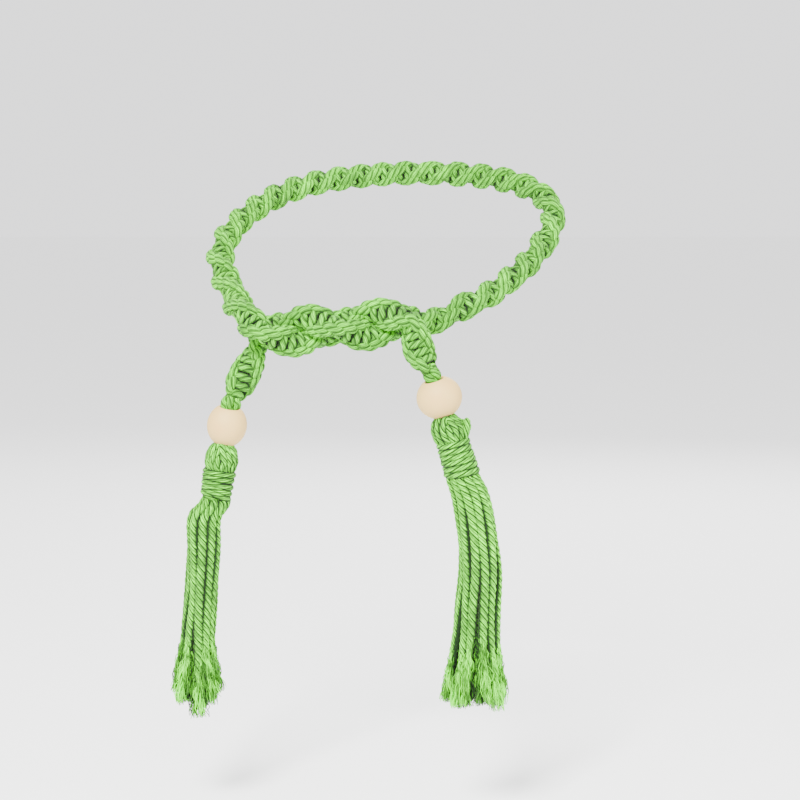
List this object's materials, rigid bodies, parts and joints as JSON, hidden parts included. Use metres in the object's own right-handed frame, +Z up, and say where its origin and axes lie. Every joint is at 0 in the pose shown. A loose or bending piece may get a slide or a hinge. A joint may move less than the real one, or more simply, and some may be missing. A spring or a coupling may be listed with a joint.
{
  "type": "curtain tieback tassel",
  "caption": "Knotted cotton tieback looped and twisted in front, with a wooden bead and a frayed cord tassel on each free end.",
  "frame": {"origin": "middle of the loop, inside the gathered bundle that it holds", "axes": "+Z up, along the bundle; -Y to the front, where the two ends twist round each other and hang; +X to the right as seen from the front"},
  "size_m": [0.211, 0.1445, 0.2886],
  "materials": {
    "band_cotton": "matte twisted cotton cord, knotted",
    "collar_cotton": "matte twisted cotton cord, wrapped",
    "tassel_cotton": "matte twisted cotton cord, frayed at the ends",
    "bead_wood": "bare pale wood, sanded"
  },
  "bodies": {
    "root": {"knotted_band": "band_cotton", "bead_left": "bead_wood", "bead_right": "bead_wood", "collar_left": "collar_cotton", "collar_right": "collar_cotton", "tassel_left": "tassel_cotton", "tassel_right": "tassel_cotton"}
  },
  "joints": []
}
